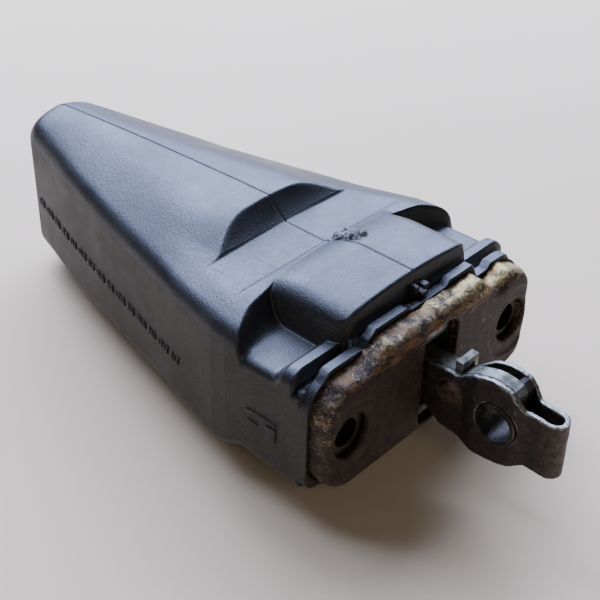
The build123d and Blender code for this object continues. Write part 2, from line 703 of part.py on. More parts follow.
RIM_REAR = -PAN_DEPTH - FIT_GAP - RIM_WEB
INSIDE_REAR = POCKET_REAR - 2 * WALL
with BuildPart() as cover:
    # Tapered rear body, with a ridge along its top and bottom
    for row in TAPER:
        plane, corners = station(*row, 0.0)
        with BuildSketch(plane):
            with BuildLine():
                Polyline(*corners, close=True)
            make_face()
    loft(ruled=True)
    # Low ledges at the mouth's four corners
    with BuildSketch(Plane.YZ.offset(POCKET_REAR)):
        RectangleRounded(2 * COVER_HALF_Y, 2 * LEDGE_Z, 3.0)
    extrude(amount=RIM_REAR - POCKET_REAR)
    # Raised block between the ledges, with a slight roof
    with BuildSketch(Plane.YZ.offset(BLOCK_REAR)):
        with BuildLine():
            Polyline(
                (-BLOCK_Y, -BLOCK_EDGE_Z),
                (0, -BLOCK_ROOF_Z),
                (BLOCK_Y, -BLOCK_EDGE_Z),
                (BLOCK_Y, BLOCK_EDGE_Z),
                (0, BLOCK_ROOF_Z),
                (-BLOCK_Y, BLOCK_EDGE_Z),
                close=True,
            )
        make_face()
    extrude(amount=BLOCK_FRONT - BLOCK_REAR)
    # Cross rib, and a neck that joins the block to the rim
    with BuildSketch(Plane.YZ.offset(RIB_REAR)):
        RectangleRounded(2 * RIB_Y, 2 * RIB_Z, 4.0)
    extrude(amount=RIB_FRONT - RIB_REAR)
    with BuildSketch(Plane.YZ.offset(BLOCK_FRONT)):
        Rectangle(2 * BLOCK_Y - 1.4, 2 * NECK_Z)
    extrude(amount=RIM_REAR + RIM_WEB - BLOCK_FRONT)
    # Rim that wraps around the pan's walls
    with BuildSketch(Plane.YZ.offset(RIM_REAR)) as rim:
        with BuildLine():
            Polyline(*pan_points(RIM_LIP), close=True)
        make_face()
        fillet(near_y(rim.vertices(), PAN_HALF_Y + RIM_LIP), 9.0)
    extrude(amount=RIM_FRONT - RIM_REAR)
    with BuildSketch(Plane.YZ.offset(-PAN_DEPTH - FIT_GAP)) as rim_inside:
        with BuildLine():
            Polyline(*pan_points(FIT_GAP), close=True)
        make_face()
        fillet(near_y(rim_inside.vertices(), PAN_HALF_Y + FIT_GAP), 7.6)
        fillet(near_y(rim_inside.vertices(), PAN_CROWN_Y, 3.9), 2.6)
    extrude(amount=PAN_DEPTH, mode=Mode.SUBTRACT)
    # The hollow: rear body, block, side ledges and the mouth's middle
    for place, *sizes in TAPER:
        plane, corners = station(inner_place(place), *sizes, WALL)
        with BuildSketch(plane):
            with BuildLine():
                Polyline(*corners, close=True)
            make_face()
    loft(ruled=True, mode=Mode.SUBTRACT)
    hollows = (
        (INSIDE_REAR, BLOCK_FRONT - WALL, BLOCK_Y - WALL, BLOCK_EDGE_Z - WALL),
        (INSIDE_REAR, RIM_FRONT, COVER_HALF_Y - WALL, LEDGE_IN),
        (INSIDE_REAR, RIM_FRONT, BLOCK_Y - WALL, MOUTH_Z),
    )
    for rear, front, half_y, half_z in hollows:
        with BuildSketch(Plane.YZ.offset(rear)):
            RectangleRounded(2 * half_y, 2 * half_z, 1.0)
        extrude(amount=front - rear, mode=Mode.SUBTRACT)
cover.part.label = "cover"
export_step(cover.part, "parts/cover.step")
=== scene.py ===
import math

import bmesh
import bpy
import numpy as np
from mathutils import Matrix, Vector, noise


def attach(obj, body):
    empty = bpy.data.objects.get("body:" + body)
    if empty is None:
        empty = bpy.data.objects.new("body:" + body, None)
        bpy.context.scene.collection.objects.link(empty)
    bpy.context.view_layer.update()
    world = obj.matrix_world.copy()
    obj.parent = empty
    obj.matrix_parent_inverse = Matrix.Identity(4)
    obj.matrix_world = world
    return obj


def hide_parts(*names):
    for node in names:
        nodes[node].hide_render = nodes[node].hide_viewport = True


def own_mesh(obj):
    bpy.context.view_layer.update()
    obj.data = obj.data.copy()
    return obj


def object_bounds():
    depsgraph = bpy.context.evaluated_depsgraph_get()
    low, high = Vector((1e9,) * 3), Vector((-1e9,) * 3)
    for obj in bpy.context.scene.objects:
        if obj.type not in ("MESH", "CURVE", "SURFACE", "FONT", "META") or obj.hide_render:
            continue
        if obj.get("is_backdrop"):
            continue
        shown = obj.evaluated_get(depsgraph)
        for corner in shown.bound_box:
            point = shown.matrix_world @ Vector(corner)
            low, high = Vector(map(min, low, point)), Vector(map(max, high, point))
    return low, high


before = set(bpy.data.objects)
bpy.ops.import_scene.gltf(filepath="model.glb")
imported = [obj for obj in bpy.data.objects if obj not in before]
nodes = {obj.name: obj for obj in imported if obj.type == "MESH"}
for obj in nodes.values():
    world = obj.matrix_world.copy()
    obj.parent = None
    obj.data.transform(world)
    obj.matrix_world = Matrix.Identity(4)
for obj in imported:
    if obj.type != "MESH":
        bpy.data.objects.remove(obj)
cad_low, cad_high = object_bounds()

MM = 0.001


# ---------------------------------------------------------------- mesh helpers

def smooth_step(t):
    t = np.clip(t, 0.0, 1.0)
    return t * t * (3.0 - 2.0 * t)


def soft_min(a, b, k):
    h = np.clip(0.5 + 0.5 * (b - a) / k, 0.0, 1.0)
    return b * (1.0 - h) + a * h - k * h * (1.0 - h)


def soft_max(a, b, k):
    return -soft_min(-a, -b, k)


def shade_smooth(mesh):
    for polygon in mesh.polygons:
        polygon.use_smooth = True


def mesh_object(name, points_mm, faces):
    """A smooth-shaded mesh object from points in millimetres."""
    mesh = bpy.data.meshes.new(name)
    mesh.from_pydata([tuple(p) for p in np.asarray(points_mm) * MM], [], faces)
    mesh.update()
    bm = bmesh.new()
    bm.from_mesh(mesh)
    bmesh.ops.recalc_face_normals(bm, faces=bm.faces)
    bm.to_mesh(mesh)
    bm.free()
    shade_smooth(mesh)
    obj = bpy.data.objects.new(name, mesh)
    bpy.context.scene.collection.objects.link(obj)
    return obj


def ring_faces(start, rings, count):
    """Quads between rings of points that follow each other."""
    faces = []
    for i in range(rings - 1):
        a = start + i * count
        b = a + count
        for j in range(count):
            k = (j + 1) % count
            faces.append((a + j, a + k, b + k, b + j))
    return faces


def apply_modifiers(obj):
    bpy.context.view_layer.update()
    graph = bpy.context.evaluated_depsgraph_get()
    mesh = bpy.data.meshes.new_from_object(obj.evaluated_get(graph))
    obj.modifiers.clear()
    old = obj.data
    obj.data = mesh
    bpy.data.meshes.remove(old)


# -------------------------------------------------------------- node materials

class Shade:
    """One procedural material, in millimetres of the object's own space."""

    def __init__(self, name):
        self.material = bpy.data.materials.new(name)
        self.material.use_nodes = True
        self.tree = self.material.node_tree
        self.bsdf = self.tree.nodes["Principled BSDF"]
        coords = self.tree.nodes.new("ShaderNodeTexCoord")
        scale = self.tree.nodes.new("ShaderNodeVectorMath")
        scale.operation = "SCALE"
        scale.inputs["Scale"].default_value = 1.0 / MM
        self.tree.links.new(coords.outputs["Object"], scale.inputs[0])
        self.mm = scale.outputs[0]

    def link(self, a, b):
        self.tree.links.new(a, b)

    def noise(self, size, detail=4.0, rough=0.55, stretch=(1, 1, 1), distort=0.0):
        place = self.mm
        if tuple(stretch) != (1, 1, 1):
            mul = self.tree.nodes.new("ShaderNodeVectorMath")
            mul.operation = "MULTIPLY"
            mul.inputs[1].default_value = stretch
            self.link(self.mm, mul.inputs[0])
            place = mul.outputs[0]
        n = self.tree.nodes.new("ShaderNodeTexNoise")
        n.inputs["Scale"].default_value = 1.0 / size
        n.inputs["Detail"].default_value = detail
        n.inputs["Roughness"].default_value = rough
        n.inputs["Distortion"].default_value = distort
        self.link(place, n.inputs["Vector"])
        return n.outputs["Fac"]

    def cells(self, size):
        v = self.tree.nodes.new("ShaderNodeTexVoronoi")
        v.inputs["Scale"].default_value = 1.0 / size
        self.link(self.mm, v.inputs["Vector"])
        return v.outputs["Distance"]

    def range(self, value, low, high, to_low=0.0, to_high=1.0):
        m = self.tree.nodes.new("ShaderNodeMapRange")
        m.clamp = True
        m.inputs["From Min"].default_value = low
        m.inputs["From Max"].default_value = high
        m.inputs["To Min"].default_value = to_low
        m.inputs["To Max"].default_value = to_high
        self.link(value, m.inputs["Value"])
        return m.outputs["Result"]

    def math(self, kind, a, b):
        m = self.tree.nodes.new("ShaderNodeMath")
        m.operation = kind
        for socket, value in zip(m.inputs, (a, b)):
            if isinstance(value, (int, float)):
                socket.default_value = value
            else:
                self.link(value, socket)
        return m.outputs[0]

    def mix(self, factor, a, b):
        m = self.tree.nodes.new("ShaderNodeMix")
        m.data_type = "RGBA"
        self.link(factor, m.inputs["Factor"])
        for name, value in (("A", a), ("B", b)):
            socket = [s for s in m.inputs if s.name == name and s.type == "RGBA"][0]
            if isinstance(value, tuple):
                socket.default_value = (*value, 1.0)
            else:
                self.link(value, socket)
        return [s for s in m.outputs if s.type == "RGBA"][0]

    def pointiness(self):
        g = self.tree.nodes.new("ShaderNodeNewGeometry")
        return g.outputs["Pointiness"]

    def normal(self, name):
        """One part of the surface's direction in the object's own space."""
        g = self.tree.nodes.new("ShaderNodeTexCoord")
        s = self.tree.nodes.new("ShaderNodeSeparateXYZ")
        self.link(g.outputs["Normal"], s.inputs[0])
        return s.outputs[name]

    def axis(self, name):
        s = self.tree.nodes.new("ShaderNodeSeparateXYZ")
        self.link(self.mm, s.inputs[0])
        return s.outputs[name]

    def bump(self, height, distance_mm, strength=1.0, after=None):
        b = self.tree.nodes.new("ShaderNodeBump")
        b.inputs["Strength"].default_value = strength
        b.inputs["Distance"].default_value = distance_mm * MM
        self.link(height, b.inputs["Height"])
        if after is not None:
            self.link(after, b.inputs["Normal"])
        return b.outputs["Normal"]

    def finish(self, color=None, roughness=None, metallic=None, normal=None):
        for name, value in (
            ("Base Color", color),
            ("Roughness", roughness),
            ("Metallic", metallic),
        ):
            socket = self.bsdf.inputs[name]
            if isinstance(value, tuple):
                socket.default_value = (*value, 1.0)
            elif isinstance(value, (int, float)):
                socket.default_value = value
            elif value is not None:
                self.link(value, socket)
        if normal is not None:
            self.link(normal, self.bsdf.inputs["Normal"])
        return self.material


def moulded_black(name, base, dust, rough_low, rough_high):
    """Grained black plastic: smoother and bluer on top, duller on upright walls, with a painted
    warm reflection on them.
    """
    s = Shade(name)
    broad = s.noise(16.0, 3.0)
    blotch = s.noise(5.0, 3.0, 0.6)
    fine = s.noise(0.42, 2.0, 0.7)
    pits = s.cells(0.62)
    peel = s.noise(2.1, 2.0)
    line = s.noise(1.3, 2.0, stretch=(0.10, 1.5, 1.0), distort=0.5)
    scratch = s.range(line, 0.70, 0.74)
    nick = s.range(s.noise(2.6, 1.0, distort=1.6), 0.735, 0.76)
    color = s.mix(s.range(broad, 0.35, 0.7), base, dust)
    color = s.mix(s.range(fine, 0.60, 0.8, 0.0, 0.4), color, tuple(2.4 * c for c in dust))
    rough = s.range(broad, 0.3, 0.7, rough_low, rough_high)
    rough = s.math("ADD", rough, s.range(fine, 0.3, 0.7, -0.05, 0.07))
    rough = s.math("ADD", rough, s.range(blotch, 0.35, 0.7, -0.03, 0.05))
    rough = s.math("ADD", rough, s.range(scratch, 0.0, 1.0, 0.0, 0.10))
    wall = s.range(s.math("ABSOLUTE", s.normal("Z"), 0.0), 0.45, 0.1)
    # painted reflection: upright walls take a speckled warm brown that stands in for the floor's
    # reflection
    painted_wall_reflection = s.mix(s.range(fine, 0.35, 0.65), (0.016, 0.014, 0.011), (0.056, 0.046, 0.035))
    color = s.mix(wall, color, painted_wall_reflection)
    rough = s.math("ADD", rough, s.range(wall, 0.0, 1.0, 0.0, 0.16))
    s.link(s.range(wall, 0.0, 1.0, 0.5, 0.26), s.bsdf.inputs["Specular IOR Level"])
    normal = s.bump(peel, 0.05, 0.5)
    normal = s.bump(fine, 0.075, 1.0, after=normal)
    normal = s.bump(pits, 0.03, 0.6, after=normal)
    normal = s.bump(s.math("MAXIMUM", scratch, nick), 0.05, 0.6, after=normal)
    s.bsdf.inputs["Specular Tint"].default_value = (0.92, 0.95, 1.0, 1.0)
    return s.finish(color, rough, 0.0, normal)


def zinc_rust(name, plate, brown, orange, share):
    """Yellow zinc plate going to rust: share is how much of it has turned."""
    s = Shade(name)
    big = s.noise(9.0, 5.0, 0.6, distort=0.3)
    mid = s.noise(2.2, 5.0, 0.65)
    fine = s.noise(0.5, 4.0, 0.7)
    edge = s.range(s.pointiness(), 0.5, 0.56)
    spread = s.math("ADD", big, s.math("MULTIPLY", mid, 0.45))
    rust = s.range(spread, 0.85 - share * 0.4, 1.0 - share * 0.4)
    rust = s.math("MULTIPLY", rust, s.range(edge, 0.0, 1.0, 1.0, 0.45))
    metal_color = s.mix(s.range(mid, 0.35, 0.65), plate, tuple(c * 0.45 for c in plate))
    rust_color = s.mix(s.range(fine, 0.4, 0.66), brown, orange)
    color = s.mix(rust, metal_color, rust_color)
    color = s.mix(s.range(fine, 0.3, 0.42, 0.55, 0.0), color, (0.012, 0.009, 0.007))
    rough = s.range(rust, 0.0, 1.0, 0.32, 0.72)
    rough = s.math("ADD", rough, s.range(fine, 0.3, 0.7, -0.08, 0.1))
    metallic = s.range(rust, 0.0, 1.0, 0.85, 0.1)
    normal = s.bump(mid, 0.12, 0.5)
    normal = s.bump(fine, 0.08, 0.7, after=normal)
    return s.finish(color, rough, metallic, normal)


def old_pan(name):
    """Pitted dark rust on the face, worn gold and olive zinc on the wall and edges."""
    s = Shade(name)
    big = s.noise(11.0, 4.0, 0.6, distort=0.4)
    mid = s.noise(2.4, 5.0, 0.7, distort=0.3)
    fine = s.noise(0.55, 4.0, 0.7)
    streak = s.noise(1.5, 4.0, 0.6, stretch=(0.5, 0.35, 1.6))
    x, y, z = s.axis("X"), s.axis("Y"), s.axis("Z")
    wall = s.range(x, -0.3, -1.3)
    upper = s.range(z, 7.5, 12.5)
    rim = s.math("MULTIPLY", s.range(x, -2.0, -0.6), s.range(z, 11.0, 14.5))
    far = s.range(y, -22.0, 16.0)
    high_wall = s.math("MULTIPLY", wall, s.range(z, -2.0, 9.0, 0.35, 1.0))
    zinc = s.math("MAXIMUM", high_wall, s.math("MULTIPLY", rim, 0.55))
    zinc = s.math("MULTIPLY", zinc, s.range(far, 0.0, 1.0, 0.55, 1.0))
    corner = s.range(s.pointiness(), 0.515, 0.56, 0.0, 0.8)
    corner = s.math("MULTIPLY", corner, s.range(z, 6.0, 10.0, 0.3, 1.0))
    zinc = s.math("MAXIMUM", zinc, corner)
    zinc = s.math("ADD", zinc, s.range(big, 0.3, 0.7, -0.30, 0.20))
    zinc = s.math("ADD", zinc, s.range(mid, 0.3, 0.7, -0.35, 0.35))
    zinc = s.math("ADD", zinc, s.range(fine, 0.3, 0.7, -0.35, 0.30))
    left = s.range(zinc, 0.36, 0.86)
    gold = s.mix(s.range(mid, 0.38, 0.60), (0.13, 0.088, 0.034), (0.36, 0.265, 0.100))
    dull = s.mix(s.range(mid, 0.4, 0.6), (0.045, 0.028, 0.018), (0.15, 0.105, 0.068))
    gold = s.mix(s.range(far, 0.0, 1.0, 0.75, 0.0), gold, dull)
    glint = s.mix(far, (0.34, 0.29, 0.21), (0.62, 0.54, 0.30))
    gold = s.mix(s.range(fine, 0.53, 0.68, 0.0, 0.85), gold, glint)
    gold = s.mix(s.range(streak, 0.50, 0.64, 0.0, 0.7), gold, (0.060, 0.038, 0.017))
    face = s.mix(s.range(mid, 0.38, 0.62), (0.008, 0.005, 0.004), (0.044, 0.024, 0.017))
    face = s.mix(s.range(fine, 0.50, 0.66, 0.0, 0.75), face, (0.105, 0.056, 0.032))
    face = s.mix(s.range(big, 0.52, 0.66, 0.0, 0.4), face, (0.026, 0.027, 0.014))
    run = s.math("MULTIPLY", upper, streak)
    face = s.mix(s.range(run, 0.48, 0.58, 0.0, 0.75), face, (0.20, 0.100, 0.032))
    color = s.mix(left, face, gold)
    color = s.mix(s.range(fine, 0.28, 0.40, 0.8, 0.0), color, (0.007, 0.005, 0.004))
    rough = s.range(left, 0.0, 1.0, 0.66, 0.36)
    rough = s.math("ADD", rough, s.range(fine, 0.3, 0.7, -0.14, 0.12))
    s.bsdf.inputs["Specular IOR Level"].default_value = 0.32
    metallic = s.range(left, 0.0, 1.0, 0.10, 0.75)
    normal = s.bump(mid, 0.22, 0.7)
    normal = s.bump(fine, 0.13, 0.9, after=normal)
    return s.finish(color, rough, metallic, normal)


def worn_strap(name):
    """The link: almost black cheeks, brown rust towards its tip, bright worn edges, and a painted
    highlight on its upward faces that fades lower down.
    """
    s = Shade(name)
    mid = s.noise(1.9, 5.0, 0.65, distort=0.4)
    fine = s.noise(0.45, 4.0, 0.7)
    x = s.axis("X")
    tip = s.range(x, 26.0, 40.0)
    dark = s.mix(s.range(mid, 0.38, 0.66), (0.010, 0.008, 0.007), (0.036, 0.024, 0.018))
    brown = s.mix(s.range(mid, 0.36, 0.64), (0.030, 0.017, 0.011), (0.115, 0.068, 0.042))
    color = s.mix(tip, dark, brown)
    color = s.mix(s.range(fine, 0.54, 0.70, 0.0, 0.6), color, (0.15, 0.105, 0.075))
    edge = s.range(s.pointiness(), 0.505, 0.535)
    edge = s.math("ADD", edge, s.range(mid, 0.3, 0.7, -0.40, 0.30))
    # painted highlight: faces turned upward take the bright bare-metal colour
    ledge = s.range(s.normal("Z"), 0.35, 0.75)
    ledge = s.math("MULTIPLY", ledge, s.range(mid, 0.25, 0.5, 0.35, 1.0))
    wear_and_top_highlight = s.math("MULTIPLY", s.range(edge, 0.35, 0.6), s.range(tip, 0.0, 1.0, 1.0, 0.45))
    wear_and_top_highlight = s.math("MAXIMUM", wear_and_top_highlight, ledge)
    # painted shade: the worn edges and the painted highlight fade towards the bottom
    wear_and_top_highlight = s.math("MULTIPLY", wear_and_top_highlight, s.range(s.axis("Z"), -4.0, 3.0, 0.25, 1.0))
    polish_and_highlight = s.mix(s.range(fine, 0.4, 0.62), (0.12, 0.115, 0.09), (0.36, 0.36, 0.32))
    color = s.mix(wear_and_top_highlight, color, polish_and_highlight)
    color = s.mix(s.range(fine, 0.28, 0.40, 0.8, 0.0), color, (0.006, 0.005, 0.004))
    rough = s.range(wear_and_top_highlight, 0.0, 1.0, 0.55, 0.38)
    rough = s.math("ADD", rough, s.range(fine, 0.3, 0.7, -0.10, 0.12))
    metallic = s.range(wear_and_top_highlight, 0.0, 1.0, 0.35, 0.9)
    normal = s.bump(mid, 0.16, 0.7)
    normal = s.bump(fine, 0.11, 0.9, after=normal)
    return s.finish(color, rough, metallic, normal)


def bare_steel(name, light, dark, rough_low, rough_high, metal=1.0, pit=0.04):
    """Worn metal in two tones, brushed along X; pit is the depth of its marks."""
    s = Shade(name)
    broad = s.noise(3.0, 5.0, 0.65)
    fine = s.noise(0.38, 3.0, 0.65)
    brush = s.noise(0.6, 3.0, stretch=(0.1, 1.0, 1.0))
    color = s.mix(s.range(broad, 0.38, 0.64), light, dark)
    color = s.mix(s.range(fine, 0.52, 0.70, 0.0, 0.75), color, tuple(c * 0.35 for c in dark))
    rough = s.range(broad, 0.3, 0.7, rough_low, rough_high)
    rough = s.math("ADD", rough, s.range(brush, 0.3, 0.7, -0.05, 0.08))
    normal = s.bump(brush, pit, 0.35)
    normal = s.bump(fine, pit, 0.8, after=normal)
    return s.finish(color, rough, metal, normal)


def soft_black(name, base, dust, rough):
    s = Shade(name)
    broad = s.noise(3.0, 3.0)
    fine = s.noise(0.3, 3.0)
    color = s.mix(s.range(broad, 0.35, 0.7), base, dust)
    roughness = s.range(fine, 0.3, 0.7, rough - 0.06, rough + 0.08)
    normal = s.bump(fine, 0.03, 0.6)
    return s.finish(color, roughness, 0.0, normal)


def greased_nylon(name, pale, yellow, grease):
    """The track's plastic: darker streaks of old grease along the way the rollers run."""
    s = Shade(name)
    broad = s.noise(7.0, 4.0, 0.6)
    fine = s.noise(0.35, 3.0, 0.6)
    streak = s.noise(1.1, 4.0, 0.6, stretch=(0.07, 1.0, 1.0))
    color = s.mix(s.range(broad, 0.38, 0.64), pale, yellow)
    color = s.mix(s.range(streak, 0.48, 0.62, 0.0, 0.75), color, grease)
    color = s.mix(s.range(fine, 0.56, 0.72, 0.0, 0.4), color, grease)
    rough = s.range(streak, 0.4, 0.65, 0.46, 0.26)
    rough = s.math("ADD", rough, s.range(fine, 0.3, 0.7, -0.05, 0.06))
    normal = s.bump(fine, 0.04, 0.7)
    normal = s.bump(streak, 0.05, 0.4, after=normal)
    return s.finish(color, rough, 0.0, normal)


COVER = moulded_black("cover_plastic", (0.010, 0.009, 0.009), (0.018, 0.017, 0.016), 0.33, 0.43)
SCAR = bare_steel(
    "gate_scar", (0.36, 0.36, 0.36), (0.020, 0.020, 0.022), 0.5, 0.75, metal=0.0, pit=0.3)
PAN = old_pan("pan_zinc")
NUTS = zinc_rust(
    "nut_zinc", (0.075, 0.065, 0.045), (0.018, 0.011, 0.008), (0.060, 0.028, 0.013), 0.5)
CAGE = bare_steel("cage_steel", (0.30, 0.29, 0.27), (0.13, 0.11, 0.09), 0.38, 0.55)
SPRING = bare_steel("spring_steel", (0.36, 0.34, 0.31), (0.16, 0.13, 0.11), 0.3, 0.45)
CORE = bare_steel(
    "core_plate", (0.25, 0.25, 0.21), (0.070, 0.068, 0.046), 0.42, 0.6, metal=0.8, pit=0.12)
STRAP = worn_strap("strap_rust")
# The eye bush's steel is made almost black: painted shade inside the eye.
EYE = bare_steel(
    "eye_steel", (0.075, 0.068, 0.062), (0.016, 0.012, 0.010), 0.30, 0.5, metal=0.9, pit=0.12)
COPPER = bare_steel(
    "rivet_copper", (0.15, 0.085, 0.066), (0.045, 0.026, 0.020), 0.5, 0.66, metal=0.6, pit=0.1)
RUBBER = soft_black("wiper_rubber", (0.010, 0.010, 0.010), (0.024, 0.023, 0.021), 0.68)
GUIDE = soft_black("guide_plastic", (0.010, 0.010, 0.011), (0.020, 0.020, 0.020), 0.55)
WEB = bare_steel(
    "web_steel", (0.060, 0.050, 0.042), (0.028, 0.019, 0.014), 0.5, 0.68, metal=0.6, pit=0.12)
NYLON = greased_nylon(
    "track_nylon", (0.56, 0.52, 0.42), (0.42, 0.37, 0.26), (0.085, 0.062, 0.036))
CAST = bare_steel(
    "cast_zinc", (0.42, 0.42, 0.41), (0.22, 0.22, 0.21), 0.4, 0.58, metal=0.85, pit=0.06)

FINISHES = {
    COVER: ("cover",),
    PAN: ("mounting_plate",),
    NUTS: ("weld_nuts", "stop_plate", "stop_pins"),
    CAGE: ("cage", "cage_lid", "lid_rivets", "near_spring_bridge", "far_spring_bridge"),
    SPRING: (
        "near_spring", "far_spring", "near_roller", "far_roller",
        "near_roller_pin", "far_roller_pin",
    ),
    CORE: ("arm_core", "saddle_clip"),
    WEB: ("closing_web",),
    STRAP: ("link_strap",),
    EYE: ("eye_bush",),
    COPPER: ("arm_rivet",),
    RUBBER: ("arm_wiper", "stop_buffer"),
    GUIDE: ("guide_frame", "near_bush", "far_bush"),
    NYLON: ("track_moulding", "upper_slide_pad", "lower_slide_pad"),
    CAST: ("near_shoe", "far_shoe"),
}
for material, names in FINISHES.items():
    for name in names:
        obj = nodes[name]
        obj.data.materials.clear()
        obj.data.materials.append(material)

# --------------------------------------------------------------- moulded cover

# Stations of the tapered body: place along X, half width, side edge height,
# ridge half width and ridge height, in millimetres
BODY = np.array([
    (-132.0, 10.3, 18.6, 5.2, 20.6),
    (-120.0, 14.0, 18.6, 6.0, 21.3),
    (-104.0, 19.0, 17.7, 7.6, 22.2),
    (-84.0, 24.3, 16.3, 9.6, 23.2),
    (-62.0, 29.6, 15.8, 12.6, 24.1),
    (-50.0, 32.5, 15.6, 16.4, 24.3),
    (-34.0, 35.9, 15.6, 18.5, 24.3),
    (-29.0, 36.4, 15.6, 19.0, 24.3),
    (-5.8, 36.2, 15.6, 19.0, 24.3),
])
# The far half is narrower than the near half by this much, again along X
FAR_INSET = np.array([
    (-132.0, 1.4), (-120.0, 1.8), (-104.0, 3.6), (-84.0, 4.4),
    (-62.0, 3.2), (-50.0, 2.2), (-34.0, 0.0),
])
TAIL_X = -132.0
TAIL_CORNER = 7.5
WAIST_Z = 19.5
STEP_FOOT_X = -46.0
CREASE_X = -33.8
RAMP_LONG = 10.5
ROOF_Z = 22.7
ROOF_EDGE_Z = 20.9
BLOCK_HALF = 21.6
BLOCK_ROUND = 5.2
BLOCK_CORNER = 4.6
SHOULDER = ((12.0, 23.6), (21.0, 19.5))
LEDGE_Z = 12.0
LEDGE_START = -23.0
RIB = (-14.2, -10.5)
RIB_Z = 14.9
GROOVE_Z = 11.3
BLOCK_FACE_X = -9.5
RIM_BACK_X = -8.1
MOUTH_X = -5.8
PAN_HALF = 35.2
PAN_TOP = 13.4
PAN_FOOT = 13.8
RIM_CORNER = 9.0
LOWER_CORNER = 5.0
CROWN_TOP = 16.4
CROWN_HALF = 16.0
RIM_WALL = 1.6
CENTRE_HALF = 20.2
CENTRE_GROOVE_Z = 15.9
NOSE_ROUND = 0.9
STRIP_STEP = 1.2
LOWER_EDGE_Z = 15.6
STRIPS = ((-31.0, -19.7), (-16.3, -5.5), (8.4, 18.6), (23.9, 31.3))
LOWER_STRIPS = ((-31.0, -19.7), (-16.3, -5.5), (5.5, 16.3), (19.7, 31.0))


def column(index, x):
    return np.interp(x, BODY[:, 0], BODY[:, index])


def half_width(x):
    """Half the cover's width, with round corners at the tail."""
    wide = column(1, x)
    near_end = np.clip(TAIL_CORNER - (x - TAIL_X), 0.0, TAIL_CORNER)
    return wide - (TAIL_CORNER - np.sqrt(TAIL_CORNER ** 2 - near_end ** 2))


def waist_surface(x, y):
    """The flat waist, falling to the same side edge."""
    wide, edge = column(1, x), column(2, x)
    turn = np.interp(x, (STEP_FOOT_X, CREASE_X, -26.0), (21.5, 26.4, 28.0))
    flank = WAIST_Z + (edge - WAIST_Z) * (y - turn) / (wide - turn)
    return soft_min(WAIST_Z - 0.02 * y, flank, 1.0)


def ridge_surface(x, y):
    """The tapered body: a rounded ridge with a flank down to each side edge.

    Close to the step its shoulders steepen and run out into the waist's flanks."""
    wide, edge, ridge, top = (column(i, x) for i in (1, 2, 3, 4))
    crest = top - 0.9 * (y / ridge) ** 2
    slope = (edge - top + 0.9) / (wide - ridge)
    flank = top - 0.9 + slope * (y - ridge)
    (y0, z0), (y1, z1) = SHOULDER
    shoulder = z0 + (z1 - z0) * (y - y0) / (y1 - y0)
    low = soft_max(shoulder, waist_surface(x, y), 0.8)
    turn = smooth_step((x + 68.0) / 19.0)
    return soft_min(crest, flank + (np.minimum(low, flank + 1.5) - flank) * turn, 1.6)


def pocket_rear(y):
    """Where each pocket's end face starts, further forward towards the side."""
    return np.interp(y, (0.0, 17.6, 28.4, 33.5, 36.8), (-33.4, -31.7, -29.2, -27.0, -25.2))


def rim_surface(y, crown):
    """The rim's outer height over the pan's wall."""
    z = np.full_like(y, PAN_TOP + RIM_WALL if crown else PAN_FOOT + RIM_WALL)
    if crown:
        rise = np.interp(y, (CROWN_HALF + 1.4, CROWN_HALF + 3.9), (1.0, 0.0))
        z = z + rise * (CROWN_TOP - PAN_TOP)
    bend = RIM_CORNER if crown else LOWER_CORNER
    corner = np.clip(y - (PAN_HALF + RIM_WALL - bend), 0.0, bend)
    return z - (bend - np.sqrt(bend ** 2 - corner ** 2))


def strip_share(y, spans, soft=0.35):
    """How much of the rim's full height is left: one on each raised strip."""
    share = np.zeros_like(y)
    for low, high in spans:
        share = np.maximum(share, np.clip(np.minimum(y - low, high - y) / soft + 0.5, 0.0, 1.0))
    return share


